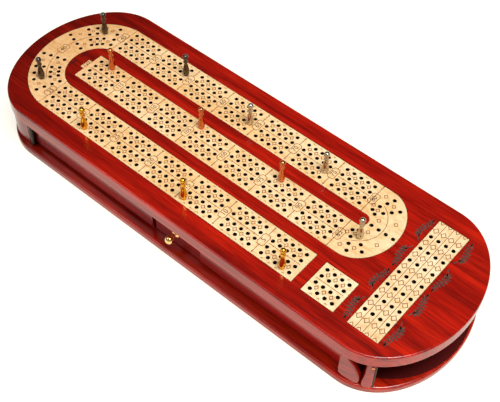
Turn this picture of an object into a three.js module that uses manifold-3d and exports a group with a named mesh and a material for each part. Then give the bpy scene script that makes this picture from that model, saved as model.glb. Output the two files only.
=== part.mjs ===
// A long cribbage board of red hardwood with round ends: a thick top board with inlaid maple tracks,
// a thin base board, and card and peg storage between them. Millimetres, +Z up, X along the board,
// Y across it; the origin is under the middle of the base.
import * as THREE from 'three';
import { mergeVertices } from 'three/addons/utils/BufferGeometryUtils.js';
import Module from 'manifold-3d';

const wasm = await Module();
wasm.setup();

// ---- driving dimensions ----
const LENGTH = 381;
const WIDTH = 131.4;
const HEIGHT = 43.6;
const TOP_THICKNESS = 10.6;
const BASE_THICKNESS = 5.5;
const END_DEPTH = 48.5;            // half-length of the elliptical round at each end
const GLUE_GAP = 0.1;              // between pieces that are glued or set into each other
const CLEARANCE = 0.4;             // around pieces that move

const HOLE_PITCH = 5.75;           // along a lane
const LANE_PITCH = 6;              // between the four lanes
const GROUP_GAP = 4.58;            // extra space after each group of five holes
const FIRST_HOLE_X = 86.4;
const HOLE_RADIUS = 1.6;
const HOLE_SIDES = 6;
const INLAY_THICKNESS = 5;
const STRIP_HALF = 13.65;
const OUTER_TRACK_Y = 36.85;       // centre lines of the front and back tracks
const MIDDLE_TRACK_Y = -0.55;
const LEFT_SEAM_X = -140.6;        // where the straight strips meet the left bend
const RIGHT_SEAM_X = 91;           // where they meet the right bend

const WALL_SETBACK = 7;            // long walls stand behind the rim, as finger room
const WALL_THICKNESS = 6;
const DOOR_HALF_WIDTH = 61.5;      // the straight ends of the hinged left end stand behind the rim
const DOOR_BEND_X = -149.2;        // where its round part begins
const DOOR_DEPTH = 41;
const HINGE_X = -142;
const HINGE_Y = -60.2;
const BARREL_RADIUS = 2;
const BAY_HALF = 21.8;             // half-width of the drawer bay in the middle
const MOUTH_WALL_END_X = 147;      // right end of the long walls

// ---- derived sizes ----
const HALF_LENGTH = LENGTH / 2;
const HALF_WIDTH = WIDTH / 2;
const END_CENTRE_X = HALF_LENGTH - END_DEPTH;
const BAY_FLOOR = BASE_THICKNESS;
const BAY_CEILING = HEIGHT - TOP_THICKNESS;
const POCKET_FLOOR = HEIGHT - INLAY_THICKNESS;
const WALL_FACE_Y = HALF_WIDTH - WALL_SETBACK;
const WALL_INNER_Y = WALL_FACE_Y - WALL_THICKNESS;
const HINGE_GAP = BARREL_RADIUS + 0.2;
const DOOR_END_X = HINGE_X - HINGE_GAP;
const WALL_START_X = HINGE_X + HINGE_GAP;
const BAY_WALL_THICKNESS = 5;
const WALL_BOTTOM = BAY_FLOOR + GLUE_GAP;
const WALL_TOP = BAY_CEILING - GLUE_GAP;

// ---- materials ----
function material(color, roughness, metalness) {
  return new THREE.MeshStandardMaterial({ color, roughness, metalness });
}

const RED_WOOD = 0x8c1410;
const DARK_RED_WOOD = 0x6f0d0c;
const MAPLE = 0xf3dca6;
const BRASS = 0xd9a441;
const DARK_BRONZE = 0x3b3128;
const STEEL = 0xa8a8ac;
const PEG_GOLD = 0xd99a1e;
const PEG_GUNMETAL = 0x4a4238;
const PEG_SILVER = 0xb9ad94;
const PEG_COPPER = 0xc8602c;

// ---- solids ----
function toSolid(geometry) {
  const bare = geometry.clone();
  bare.deleteAttribute('normal');
  bare.deleteAttribute('uv');
  const merged = mergeVertices(bare, 1e-4);
  const vertProperties = new Float32Array(merged.attributes.position.array);
  const triVerts = new Uint32Array(merged.index.array);
  return new wasm.Manifold(new wasm.Mesh({ numProp: 3, vertProperties, triVerts }));
}

function toGeometry(solid) {
  const mesh = solid.getMesh();
  const geometry = new THREE.BufferGeometry();
  geometry.setAttribute('position', new THREE.BufferAttribute(mesh.vertProperties, 3));
  geometry.setIndex(new THREE.BufferAttribute(mesh.triVerts, 1));
  geometry.computeVertexNormals();
  return geometry;
}

// A shape in the XY plane stood up between two heights.
function prism(shape, low, high, curveSegments = 20) {
  const options = { depth: high - low, bevelEnabled: false, curveSegments };
  const geometry = new THREE.ExtrudeGeometry(shape, options);
  geometry.translate(0, 0, low);
  return geometry;
}

function block(x0, x1, y0, y1, z0, z1) {
  const geometry = new THREE.BoxGeometry(x1 - x0, y1 - y0, z1 - z0);
  geometry.translate((x0 + x1) / 2, (y0 + y1) / 2, (z0 + z1) / 2);
  return geometry;
}

// A rod along X, Y or Z between two places on that axis.
function rod(axis, radius, from, to, across, sides = 12) {
  const geometry = new THREE.CylinderGeometry(radius, radius, to - from, sides);
  const middle = (from + to) / 2;
  if (axis === 'x') {
    geometry.rotateZ(-Math.PI / 2);
    geometry.translate(middle, across[0], across[1]);
  } else if (axis === 'y') {
    geometry.translate(across[0], middle, across[1]);
  } else {
    geometry.rotateX(Math.PI / 2);
    geometry.translate(across[0], across[1], middle);
  }
  return geometry;
}

function cut(geometry, ...tools) {
  let solid = toSolid(geometry);
  for (const tool of tools) {
    solid = solid.subtract(toSolid(tool));
  }
  return toGeometry(solid);
}

function join(first, ...others) {
  let solid = toSolid(first);
  for (const other of others) {
    solid = solid.add(toSolid(other));
  }
  return toGeometry(solid);
}

function rectangle(x0, x1, y0, y1) {
  const shape = new THREE.Shape();
  shape.moveTo(x0, y0);
  shape.lineTo(x1, y0);
  shape.lineTo(x1, y1);
  shape.lineTo(x0, y1);
  shape.closePath();
  return shape;
}

// The outline of the top and base boards: straight sides and elliptical ends.
function boardOutline() {
  const shape = new THREE.Shape();
  const quarter = Math.PI / 2;
  shape.moveTo(-END_CENTRE_X, -HALF_WIDTH);
  shape.lineTo(END_CENTRE_X, -HALF_WIDTH);
  shape.absellipse(END_CENTRE_X, 0, END_DEPTH, HALF_WIDTH, -quarter, quarter, false);
  shape.lineTo(-END_CENTRE_X, HALF_WIDTH);
  shape.absellipse(-END_CENTRE_X, 0, END_DEPTH, HALF_WIDTH, quarter, 3 * quarter, false);
  return shape;
}

// ---- the inlaid track ----
const LEFT_BEND = { outerX: -136.6, outerA: 44.2, innerX: -134, innerA: 21.2 };
const RIGHT_BEND = { outerX: 98.4, outerA: 25.2, innerX: 95.3 };
const OUTER_EDGE_Y = OUTER_TRACK_Y + STRIP_HALF;
const INNER_EDGE_Y = OUTER_TRACK_Y - STRIP_HALF;
const MIDDLE_BACK_Y = MIDDLE_TRACK_Y + STRIP_HALF;
const MIDDLE_FRONT_Y = MIDDLE_TRACK_Y - STRIP_HALF;
const TRACK_START_X = 91.5;
const MIDDLE_END_X = -141.8;
const TAB_END_X = -145.2;
const TAB_HALF = 4.7;
const RIGHT_BEND_Y = (OUTER_EDGE_Y + MIDDLE_FRONT_Y) / 2;
const TONGUE_HALF = (INNER_EDGE_Y - MIDDLE_BACK_Y) / 2;

// Half an elliptical ring left of the seam; fit takes a little off all round.
function leftBendShape(fit) {
  const quarter = Math.PI / 2;
  const shape = new THREE.Shape();
  const outerB = OUTER_EDGE_Y - fit;
  const innerB = INNER_EDGE_Y + fit;
  const seam = LEFT_SEAM_X - fit;
  const outerTurn = Math.asin((LEFT_BEND.outerX - seam) / (LEFT_BEND.outerA - fit));
  const innerTurn = Math.asin((LEFT_BEND.innerX - seam) / (LEFT_BEND.innerA + fit));
  shape.absellipse(LEFT_BEND.outerX, 0, LEFT_BEND.outerA - fit, outerB,
    quarter + outerTurn, 3 * quarter - outerTurn, false);
  shape.absellipse(LEFT_BEND.innerX, 0, LEFT_BEND.innerA + fit, innerB,
    3 * quarter - innerTurn, quarter + innerTurn, true);
  shape.closePath();
  return shape;
}

function rightBendShape(fit) {
  const quarter = Math.PI / 2;
  const shape = new THREE.Shape();
  const outerB = OUTER_EDGE_Y - RIGHT_BEND_Y - fit;
  const tongue = TONGUE_HALF + fit;
  const seam = RIGHT_SEAM_X + fit;
  shape.moveTo(seam, RIGHT_BEND_Y - outerB);
  shape.lineTo(RIGHT_BEND.outerX, RIGHT_BEND_Y - outerB);
  shape.absellipse(RIGHT_BEND.outerX, RIGHT_BEND_Y, RIGHT_BEND.outerA - fit, outerB,
    -quarter, quarter, false);
  shape.lineTo(seam, RIGHT_BEND_Y + outerB);
  shape.lineTo(seam, RIGHT_BEND_Y + tongue);
  shape.absarc(RIGHT_BEND.innerX, RIGHT_BEND_Y, tongue, quarter, -quarter, true);
  shape.lineTo(seam, RIGHT_BEND_Y - tongue);
  shape.closePath();
  return shape;
}

// A strip along the front (side -1) or back (side 1); its left end follows the ellipses of the bend.
function outerStripShape(side, endX, fit) {
  const quarter = side * Math.PI / 2;
  const shape = new THREE.Shape();
  const outerY = OUTER_EDGE_Y - fit;
  const innerY = INNER_EDGE_Y + fit;
  const outerA = LEFT_BEND.outerA - fit;
  const innerA = LEFT_BEND.innerA + fit;
  const seam = LEFT_SEAM_X + fit;
  const outerTurn = side * Math.asin((LEFT_BEND.outerX - seam) / outerA);
  const innerTurn = side * Math.asin((LEFT_BEND.innerX - seam) / innerA);
  shape.moveTo(endX - fit, side * innerY);
  shape.lineTo(LEFT_BEND.innerX, side * innerY);
  shape.absellipse(LEFT_BEND.innerX, 0, innerA, innerY, quarter, quarter + innerTurn, side < 0);
  shape.absellipse(LEFT_BEND.outerX, 0, outerA, outerY, quarter + outerTurn, quarter, side > 0);
  shape.lineTo(endX - fit, side * outerY);
  shape.closePath();
  return shape;
}

const SCORING = { x: 137.9, columns: 4, rows: 7, rowPitch: 2 * LANE_PITCH, halfLength: 50.8, half: 11.65 };
const GAMES = { x: 103.3, y: -37.4, half: 12.8 };

function inlayShapes(fit) {
  const gamesMiddle = GAMES.x + 1.5 * HOLE_PITCH;
  const scoringMiddle = SCORING.x + 1.5 * HOLE_PITCH;
  const half = STRIP_HALF - fit;
  return {
    front_track_inlay: outerStripShape(-1, TRACK_START_X, fit),
    left_bend_inlay: leftBendShape(fit),
    back_track_inlay: outerStripShape(1, RIGHT_SEAM_X, fit),
    right_bend_inlay: rightBendShape(fit),
    middle_track_inlay: rectangle(MIDDLE_END_X + fit, RIGHT_SEAM_X - fit,
      MIDDLE_TRACK_Y - half, MIDDLE_TRACK_Y + half),
    finish_tab_inlay: rectangle(TAB_END_X + fit, MIDDLE_END_X - fit,
      MIDDLE_TRACK_Y - TAB_HALF + fit, MIDDLE_TRACK_Y + TAB_HALF - fit),
    games_inlay: rectangle(gamesMiddle - GAMES.half + fit, gamesMiddle + GAMES.half - fit,
      GAMES.y - half, GAMES.y + half),
    scoring_inlay: rectangle(scoringMiddle - SCORING.half + fit, scoringMiddle + SCORING.half - fit,
      -SCORING.halfLength + fit, SCORING.halfLength - fit),
  };
}

// ---- peg holes ----
function laneOffset(lane) {
  return (lane - 1.5) * LANE_PITCH;
}

function columnX(column) {
  return FIRST_HOLE_X - column * HOLE_PITCH - Math.floor(column / 5) * GROUP_GAP;
}

// Rows round the left bend: lanes follow ellipses between the inner and the outer lane.
const LEFT_BEND_ANGLES = [112, 126.5, 135.5, 144.5, 163, 197, 215.5, 224.5, 233.5, 248];
const LEFT_LANES = { x: -135.5, innerA: 24.2, outerA: 41.5 };
const RIGHT_BEND_ANGLES = [-66.3, -47, 0, 47, 66.3];
const RIGHT_LANES = { x: 91.5, innerRadius: 12, outerRadius: 29.1 };

function leftBendHoles(row) {
  const angle = THREE.MathUtils.degToRad(LEFT_BEND_ANGLES[row]);
  return [3, 2, 1, 0].map((lane) => {
    const inward = lane / 3;
    const a = THREE.MathUtils.lerp(LEFT_LANES.outerA, LEFT_LANES.innerA, inward);
    const b = OUTER_TRACK_Y - laneOffset(lane);
    return [LEFT_LANES.x + a * Math.cos(angle), b * Math.sin(angle)];
  });
}

function rightBendHoles(row) {
  const angle = THREE.MathUtils.degToRad(RIGHT_BEND_ANGLES[row]);
  return [0, 1, 2, 3].map((step) => {
    const { innerRadius, outerRadius } = RIGHT_LANES;
    const radius = THREE.MathUtils.lerp(innerRadius, outerRadius, step / 3);
    return [RIGHT_LANES.x + radius * Math.cos(angle), RIGHT_BEND_Y + radius * Math.sin(angle)];
  });
}

function stripHoles(middleY) {
  const holes = [];
  for (let column = 0; column < 35; column += 1) {
    for (let lane = 0; lane < 4; lane += 1) {
      holes.push([columnX(column), middleY + laneOffset(lane)]);
    }
  }
  return holes;
}

function gridHoles(x, y, columns, rows, rowPitch) {
  const holes = [];
  for (let column = 0; column < columns; column += 1) {
    for (let row = 0; row < rows; row += 1) {
      holes.push([x + column * HOLE_PITCH, y + (row - (rows - 1) / 2) * rowPitch]);
    }
  }
  return holes;
}

const HOLES = {
  front_track_inlay: stripHoles(-OUTER_TRACK_Y),
  left_bend_inlay: LEFT_BEND_ANGLES.flatMap((_, row) => leftBendHoles(row)),
  back_track_inlay: stripHoles(OUTER_TRACK_Y),
  right_bend_inlay: RIGHT_BEND_ANGLES.flatMap((_, row) => rightBendHoles(row)),
  middle_track_inlay: stripHoles(MIDDLE_TRACK_Y),
  finish_tab_inlay: [],
  games_inlay: gridHoles(GAMES.x, GAMES.y, 4, 4, LANE_PITCH),
  scoring_inlay: gridHoles(SCORING.x, 0, SCORING.columns, SCORING.rows, SCORING.rowPitch),
};

const board = new THREE.Group();

function addMesh(name, geometry, surface) {
  const mesh = new THREE.Mesh(geometry, surface);
  mesh.name = name;
  board.add(mesh);
  return mesh;
}

function addInlays() {
  for (const [name, shape] of Object.entries(inlayShapes(GLUE_GAP))) {
    const geometry = prism(shape, POCKET_FLOOR + GLUE_GAP, HEIGHT, 16);
    const drill = (place) => rod('z', HOLE_RADIUS, POCKET_FLOOR, HEIGHT + 1, place, HOLE_SIDES);
    const holes = HOLES[name].map(drill);
    addMesh(name, cut(geometry, ...holes), material(MAPLE, 0.45, 0));
  }
}

// ---- boards ----
// The right-hand pillars run down past the base, so the base and the pillars share this outline.
const PILLAR = { x: 162, turn: 31, depth: 7, inset: 0.4, half: 2.8, top: BAY_CEILING - GLUE_GAP };

function pillarProfile(grow) {
  const shape = new THREE.Shape();
  const edge = PILLAR.half + grow;
  shape.moveTo(edge, PILLAR.top);
  shape.lineTo(-edge, PILLAR.top);
  shape.lineTo(-edge, 21);
  shape.quadraticCurveTo(-3.6 - grow, 15, -4.2 - grow, 9);
  shape.quadraticCurveTo(-4.2 - grow, 5.2, 1.6, -grow);
  shape.lineTo(edge, -grow);
  shape.closePath();
  return shape;
}

// Stands a profile, drawn along the rim and up, on the rim at the given X; side is -1 front, 1 back.
function standOnRim(geometry, x, turn, side, inset) {
  const rimY = HALF_WIDTH * Math.sqrt(1 - ((x - END_CENTRE_X) / END_DEPTH) ** 2);
  geometry.rotateX(Math.PI / 2);
  geometry.rotateZ(THREE.MathUtils.degToRad(turn));
  geometry.translate(x, -rimY, 0);
  const angle = THREE.MathUtils.degToRad(turn);
  geometry.translate(-inset * Math.sin(angle), inset * Math.cos(angle), 0);
  if (side > 0) {
    return mirrorY(geometry);
  }
  return geometry;
}

// The same solid on the other side of the board's long centre line.
function mirrorY(geometry) {
  const mirrored = geometry.index ? geometry.toNonIndexed() : geometry.clone();
  const position = mirrored.attributes.position;
  for (let corner = 0; corner < position.count; corner += 3) {
    for (let step = 0; step < 3; step += 1) {
      position.setY(corner + step, -position.getY(corner + step));
    }
    const second = new THREE.Vector3().fromBufferAttribute(position, corner + 1);
    const third = new THREE.Vector3().fromBufferAttribute(position, corner + 2);
    position.setXYZ(corner + 1, third.x, third.y, third.z);
    position.setXYZ(corner + 2, second.x, second.y, second.z);
  }
  return mirrored;
}

function pillar(side, grow = 0) {
  const shape = pillarProfile(grow);
  const depth = PILLAR.depth + 2 * grow;
  const geometry = new THREE.ExtrudeGeometry(shape, { depth, bevelEnabled: false, curveSegments: 8 });
  geometry.translate(0, 0, -depth + grow);
  return standOnRim(geometry, PILLAR.x, PILLAR.turn, side, PILLAR.inset);
}

function addBoards() {
  const pockets = Object.values(inlayShapes(0)).map((shape) => prism(shape, POCKET_FLOOR, HEIGHT + 1, 16));
  const top = prism(boardOutline(), BAY_CEILING, HEIGHT, 28);
  addMesh('top_board', cut(top, ...pockets), material(RED_WOOD, 0.25, 0));
  const base = prism(boardOutline(), 0, BASE_THICKNESS, 28);
  addMesh('base_board', cut(base, pillar(-1, 0.3), pillar(1, 0.3)), material(RED_WOOD, 0.3, 0));
}

// ---- fixed walls between the boards ----
const MAGNET = { radius: 2, length: 3, y: WALL_FACE_Y - WALL_THICKNESS / 2, z: 19.2 };
const SCREW_HEIGHTS = [11, 27.5];
const SCREW = { headRadius: 1.2, shankRadius: 0.8, length: 6, y: HINGE_Y + 4.1 };
const LEAF_THICKNESS = 1;
const LEAF_WIDTH = 6;

function addWalls() {
  const wood = material(DARK_RED_WOOD, 0.3, 0);
  const bores = SCREW_HEIGHTS.map((z) => rod('x', SCREW.shankRadius + GLUE_GAP,
    WALL_START_X - 1, WALL_START_X + SCREW.length + 0.3, [SCREW.y, z]));
  const frontLeft = block(WALL_START_X, -BAY_HALF, -WALL_FACE_Y, -WALL_INNER_Y, WALL_BOTTOM, WALL_TOP);
  addMesh('front_wall_left', cut(frontLeft, ...bores), wood);
  addMesh('front_wall_right',
    block(BAY_HALF, MOUTH_WALL_END_X, -WALL_FACE_Y, -WALL_INNER_Y, WALL_BOTTOM, WALL_TOP), wood);
  const backStart = DOOR_END_X + CLEARANCE;
  const magnetPocket = rod('x', MAGNET.radius + GLUE_GAP, backStart - 1, backStart + MAGNET.length,
    [MAGNET.y, MAGNET.z]);
  const back = block(backStart, MOUTH_WALL_END_X, WALL_INNER_Y, WALL_FACE_Y, WALL_BOTTOM, WALL_TOP);
  addMesh('back_wall', cut(back, magnetPocket), wood);
  addMesh('catch_magnet', rod('x', MAGNET.radius, backStart, backStart + MAGNET.length - GLUE_GAP,
    [MAGNET.y, MAGNET.z]), material(STEEL, 0.3, 1));
  const bayY = WALL_INNER_Y - GLUE_GAP;
  const bayWalls = { bay_wall_left: -BAY_HALF - BAY_WALL_THICKNESS, bay_wall_right: BAY_HALF };
  for (const [name, x] of Object.entries(bayWalls)) {
    addMesh(name, block(x, x + BAY_WALL_THICKNESS, -bayY, bayY, WALL_BOTTOM, WALL_TOP), wood);
  }
}

// ---- the open right end: a thin rounded cheek and a pinned pillar on each side of the card mouth ----
const CHEEK = { x: 148, turn: 8, start: -6, length: 14.8, topLength: 6, thickness: 3.5, inset: 1.7 };
const PIN = { along: 1.2, z: 30.6, radius: 1, depth: 5, proud: 0.5 };

function cheek(side) {
  const shape = new THREE.Shape();
  const end = CHEEK.start + CHEEK.length;
  const topEnd = CHEEK.start + CHEEK.topLength;
  shape.moveTo(CHEEK.start, WALL_BOTTOM + 4);
  shape.quadraticCurveTo(CHEEK.start + 2, WALL_BOTTOM + 0.6, CHEEK.start + 8, WALL_BOTTOM);
  shape.lineTo(end - 3.4, WALL_BOTTOM);
  shape.quadraticCurveTo(end - 0.8, WALL_BOTTOM + 0.3, end - 0.1, WALL_BOTTOM + 3);
  shape.quadraticCurveTo(end + 0.9, 14, end - 1.6, 19);
  shape.quadraticCurveTo(topEnd + 4.6, 25.6, topEnd, 29.4);
  shape.lineTo(topEnd - 0.4, WALL_TOP);
  shape.lineTo(CHEEK.start, WALL_TOP);
  shape.closePath();
  const options = { depth: CHEEK.thickness, bevelEnabled: false, curveSegments: 8 };
  const geometry = new THREE.ExtrudeGeometry(shape, options);
  geometry.translate(0, 0, -CHEEK.thickness);
  return standOnRim(geometry, CHEEK.x, CHEEK.turn, side, CHEEK.inset);
}

// A pin driven square into the outer face of a pillar, or the hole for it.
function pillarPin(side, radius, depth, proud) {
  const geometry = new THREE.CylinderGeometry(radius, radius, depth + proud, 12);
  geometry.rotateX(Math.PI / 2);
  geometry.translate(PIN.along, PIN.z, (proud - depth) / 2);
  return standOnRim(geometry, PILLAR.x, PILLAR.turn, side, PILLAR.inset);
}

// A thin plate against the mouth side of a pillar.
function mouthPlate(side) {
  const near = PILLAR.half + 0.2;
  const geometry = block(near, near + 0.8, BAY_FLOOR + 0.3, BAY_CEILING - 0.3, -PILLAR.depth, -0.6);
  return standOnRim(geometry, PILLAR.x, PILLAR.turn, side, PILLAR.inset);
}

function addMouth() {
  for (const [place, side] of [['front', -1], ['back', 1]]) {
    const pinBore = pillarPin(side, PIN.radius + GLUE_GAP, PIN.depth + GLUE_GAP, 2);
    addMesh(`mouth_cheek_${place}`, cheek(side), material(RED_WOOD, 0.25, 0));
    addMesh(`mouth_pillar_${place}`, cut(pillar(side), pinBore), material(RED_WOOD, 0.25, 0));
    addMesh(`pillar_pin_${place}`, pillarPin(side, PIN.radius, PIN.depth, PIN.proud),
      material(PEG_COPPER, 0.25, 1));
    addMesh(`mouth_plate_${place}`, mouthPlate(side), material(DARK_BRONZE, 0.45, 1));
  }
}

// ---- the hinged left end ----
const DOOR_THICKNESS = 7.5;
const DOOR_BOTTOM = BAY_FLOOR + CLEARANCE;
const DOOR_TOP = BAY_CEILING - CLEARANCE;
const STRIKER = { radius: 2.4, length: 2 };

function doorOutline() {
  const quarter = Math.PI / 2;
  const shape = new THREE.Shape();
  const outerB = DOOR_HALF_WIDTH;
  const innerA = DOOR_DEPTH - DOOR_THICKNESS;
  const innerB = outerB - DOOR_THICKNESS;
  shape.moveTo(DOOR_END_X, outerB);
  shape.absellipse(DOOR_BEND_X, 0, DOOR_DEPTH, outerB, quarter, 3 * quarter, false);
  shape.lineTo(DOOR_END_X, -outerB);
  shape.lineTo(DOOR_END_X, -innerB);
  shape.absellipse(DOOR_BEND_X, 0, innerA, innerB, 3 * quarter, quarter, true);
  shape.lineTo(DOOR_END_X, innerB);
  shape.closePath();
  return shape;
}

function addDoor() {
  const bores = SCREW_HEIGHTS.map((z) => rod('x', SCREW.shankRadius + GLUE_GAP,
    DOOR_END_X - SCREW.length - 0.3, DOOR_END_X + 1, [SCREW.y, z]));
  const strikerPocket = rod('x', STRIKER.radius + GLUE_GAP, DOOR_END_X - STRIKER.length, DOOR_END_X + 1,
    [MAGNET.y, MAGNET.z]);
  const door = prism(doorOutline(), DOOR_BOTTOM, DOOR_TOP, 20);
  addMesh('left_end_door', cut(door, strikerPocket, ...bores), material(RED_WOOD, 0.25, 0));
  addMesh('door_striker', rod('x', STRIKER.radius, DOOR_END_X - STRIKER.length + GLUE_GAP, DOOR_END_X,
    [MAGNET.y, MAGNET.z]), material(STEEL, 0.35, 1));
}

// ---- the butt hinge: three knuckles on the wall leaf and two on the door leaf ----
const HINGE_BOTTOM = BAY_FLOOR + 1.2;
const HINGE_TOP = BAY_CEILING - 1.2;
const KNUCKLES = 5;
const PIN_RADIUS = 0.85;
const PIN_HOLE_RADIUS = 1;

function hingeLeaf(first, side) {
  const knuckleHeight = (HINGE_TOP - HINGE_BOTTOM) / KNUCKLES;
  const outer = HINGE_X + side * (HINGE_GAP - GLUE_GAP);
  const inner = outer - side * LEAF_THICKNESS;
  const leaf = block(Math.min(inner, outer), Math.max(inner, outer), HINGE_Y, HINGE_Y + LEAF_WIDTH,
    HINGE_BOTTOM, HINGE_TOP);
  const barrels = [];
  const spaces = [];
  for (let knuckle = 0; knuckle < KNUCKLES; knuckle += 1) {
    const low = HINGE_BOTTOM + knuckle * knuckleHeight;
    const high = low + knuckleHeight;
    if (knuckle % 2 === first) {
      barrels.push(rod('z', BARREL_RADIUS, low + 0.1, high - 0.1, [HINGE_X, HINGE_Y], 16));
    } else {
      spaces.push(block(HINGE_X - 3, HINGE_X + 3, HINGE_Y - 3, HINGE_Y + BARREL_RADIUS + 0.3,
        low - 0.1, high + 0.1));
    }
  }
  const pinHole = rod('z', PIN_HOLE_RADIUS, HINGE_BOTTOM - 1, HINGE_TOP + 1, [HINGE_X, HINGE_Y], 16);
  const screwHoles = SCREW_HEIGHTS.map((z) => rod('x', SCREW.headRadius + GLUE_GAP,
    Math.min(inner, outer) - 1, Math.max(inner, outer) + 1, [SCREW.y, z]));
  return cut(join(cut(leaf, ...spaces), ...barrels), pinHole, ...screwHoles);
}

// A screw lying along X with its head in the leaf; side is -1 into the door, 1 into the wall.
function hingeScrew(side, z) {
  const headBack = HINGE_X + side * (HINGE_GAP - GLUE_GAP);
  const headFront = headBack - side * LEAF_THICKNESS;
  const tip = headBack + side * SCREW.length;
  const across = [SCREW.y, z];
  const head = rod('x', SCREW.headRadius, Math.min(headBack, headFront), Math.max(headBack, headFront),
    across);
  const shank = rod('x', SCREW.shankRadius, Math.min(headFront, tip), Math.max(headFront, tip), across);
  return join(head, shank);
}

function addHinge() {
  const bronze = () => material(DARK_BRONZE, 0.5, 1);
  addMesh('hinge_leaf_wall', hingeLeaf(0, 1), bronze());
  addMesh('hinge_leaf_door', hingeLeaf(1, -1), bronze());
  addMesh('hinge_pin', rod('z', PIN_RADIUS, HINGE_BOTTOM, HINGE_TOP, [HINGE_X, HINGE_Y], 12), bronze());
  SCREW_HEIGHTS.forEach((z, index) => {
    addMesh(`wall_leaf_screw_${index + 1}`, hingeScrew(1, z), bronze());
    addMesh(`door_leaf_screw_${index + 1}`, hingeScrew(-1, z), bronze());
  });
}

// ---- the peg drawer ----
const DRAWER = {
  half: BAY_HALF - 1.2, frontY: -WALL_FACE_Y + 1.6, frontThickness: 6, backY: 49.5,
  bottom: BAY_FLOOR + 0.6, top: BAY_CEILING - 0.6, side: 4, floor: 3, rim: 27,
};
const KNOB_Z = (BAY_FLOOR + BAY_CEILING) / 2;
const KNOB_SCREW = { headRadius: 3, headThickness: 1.2, shankRadius: 0.8, bite: 5 };

function addDrawer() {
  const wood = material(DARK_RED_WOOD, 0.3, 0);
  const plain = material(0xb98a5e, 0.6, 0);
  const backOfFront = DRAWER.frontY + DRAWER.frontThickness;
  const screwBore = rod('y', KNOB_SCREW.shankRadius + CLEARANCE, DRAWER.frontY - 1, backOfFront + 1,
    [0, KNOB_Z]);
  const front = block(-DRAWER.half, DRAWER.half, DRAWER.frontY, backOfFront, DRAWER.bottom, DRAWER.top);
  addMesh('drawer_front', cut(front, screwBore), wood);
  const trayFrontY = backOfFront + GLUE_GAP;
  const trayHalf = DRAWER.half - 0.2;
  const wallBottom = DRAWER.bottom + DRAWER.floor + GLUE_GAP;
  addMesh('drawer_bottom', block(-trayHalf, trayHalf, trayFrontY, DRAWER.backY,
    DRAWER.bottom, DRAWER.bottom + DRAWER.floor), plain);
  const sides = { drawer_side_left: -trayHalf, drawer_side_right: trayHalf - DRAWER.side };
  for (const [name, x] of Object.entries(sides)) {
    addMesh(name, block(x, x + DRAWER.side, trayFrontY, DRAWER.backY, wallBottom, DRAWER.rim), plain);
  }
  const innerHalf = trayHalf - DRAWER.side - GLUE_GAP;
  addMesh('drawer_back', block(-innerHalf, innerHalf, DRAWER.backY - DRAWER.side, DRAWER.backY,
    wallBottom, DRAWER.rim), plain);
  addKnob(backOfFront);
}

const KNOB_PROFILE = [
  [0, 0], [3.3, 0], [3.3, 1.5], [2.6, 2.1], [1.6, 2.7], [1.5, 4.4], [2.1, 5.1],
  [2.9, 6.2], [3.2, 7.5], [2.9, 8.8], [2.1, 9.9], [1.1, 10.5], [0, 10.6],
];

function addKnob(backOfFront) {
  const profile = KNOB_PROFILE.map(([radius, out]) => new THREE.Vector2(radius, out));
  const knob = new THREE.LatheGeometry(profile, 20);
  knob.rotateX(Math.PI);
  knob.translate(0, DRAWER.frontY - GLUE_GAP, KNOB_Z);
  const tip = DRAWER.frontY - KNOB_SCREW.bite;
  const bore = rod('y', KNOB_SCREW.shankRadius + GLUE_GAP, tip - CLEARANCE, DRAWER.frontY + 1, [0, KNOB_Z]);
  addMesh('drawer_knob', cut(knob, bore), material(BRASS, 0.15, 1));
  const head = rod('y', KNOB_SCREW.headRadius, backOfFront + GLUE_GAP,
    backOfFront + GLUE_GAP + KNOB_SCREW.headThickness, [0, KNOB_Z]);
  const shank = rod('y', KNOB_SCREW.shankRadius, tip, backOfFront + 0.5, [0, KNOB_Z]);
  addMesh('knob_screw', join(head, shank), material(STEEL, 0.3, 1));
}

// ---- pegs ----
// Radius and height of the turned peg, from the tip in the hole up to the ball.
const PEG_PROFILE = [
  [0, -4.6], [1.15, -4.6], [1.15, 0.1], [1.9, 0.2], [1.95, 1.3], [2.45, 2.4], [2.5, 4.6], [2, 8],
  [1.2, 11.4], [1.2, 12.6], [1.8, 13.6], [1.75, 14.8], [1.3, 15.6], [2.15, 17.2], [2.15, 18.8],
  [1.2, 20], [0, 20.2],
];

// The hole that each peg stands in, counted along its lane; lane 1 is the outermost.
const PEGS = [
  ['gold', PEG_GOLD, 1, [2, 15, 29]],
  ['gunmetal', PEG_GUNMETAL, 2, [37, 44, 55]],
  ['silver', PEG_SILVER, 3, [65, 75, 84]],
  ['copper', PEG_COPPER, 4, [94, 105, 118]],
];

function pegPlace(lane, hole) {
  if (hole <= 35) {
    return [columnX(hole - 1), -OUTER_TRACK_Y + laneOffset(lane - 1)];
  }
  if (hole <= 45) {
    return leftBendHoles(45 - hole)[4 - lane];
  }
  if (hole <= 80) {
    return [columnX(80 - hole), OUTER_TRACK_Y - laneOffset(lane - 1)];
  }
  if (hole <= 85) {
    return rightBendHoles(85 - hole)[4 - lane];
  }
  return [columnX(hole - 86), MIDDLE_TRACK_Y + laneOffset(lane - 1)];
}

function addPegs() {
  const profile = PEG_PROFILE.map(([radius, height]) => new THREE.Vector2(radius, height));
  for (const [colour, shade, lane, holes] of PEGS) {
    holes.forEach((hole, index) => {
      const geometry = new THREE.LatheGeometry(profile, 8);
      geometry.rotateX(Math.PI / 2);
      const peg = addMesh(`peg_${colour}_${index + 1}`, geometry, material(shade, 0.25, 1));
      const [x, y] = pegPlace(lane, hole);
      peg.position.set(x, y, HEIGHT);
    });
  }
}

addBoards();
addInlays();
addWalls();
addMouth();
addDoor();
addHinge();
addDrawer();
addPegs();

export default board;
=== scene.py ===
"""Looks for the long cribbage board with round ends: smooth boards, inlays with drilled holes and
burnt lines, turned pegs, the hinged end, the drawer and the card mouth. Lengths are in millimetres
until a mesh is made; Blender and the frame are in metres."""
import math

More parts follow.
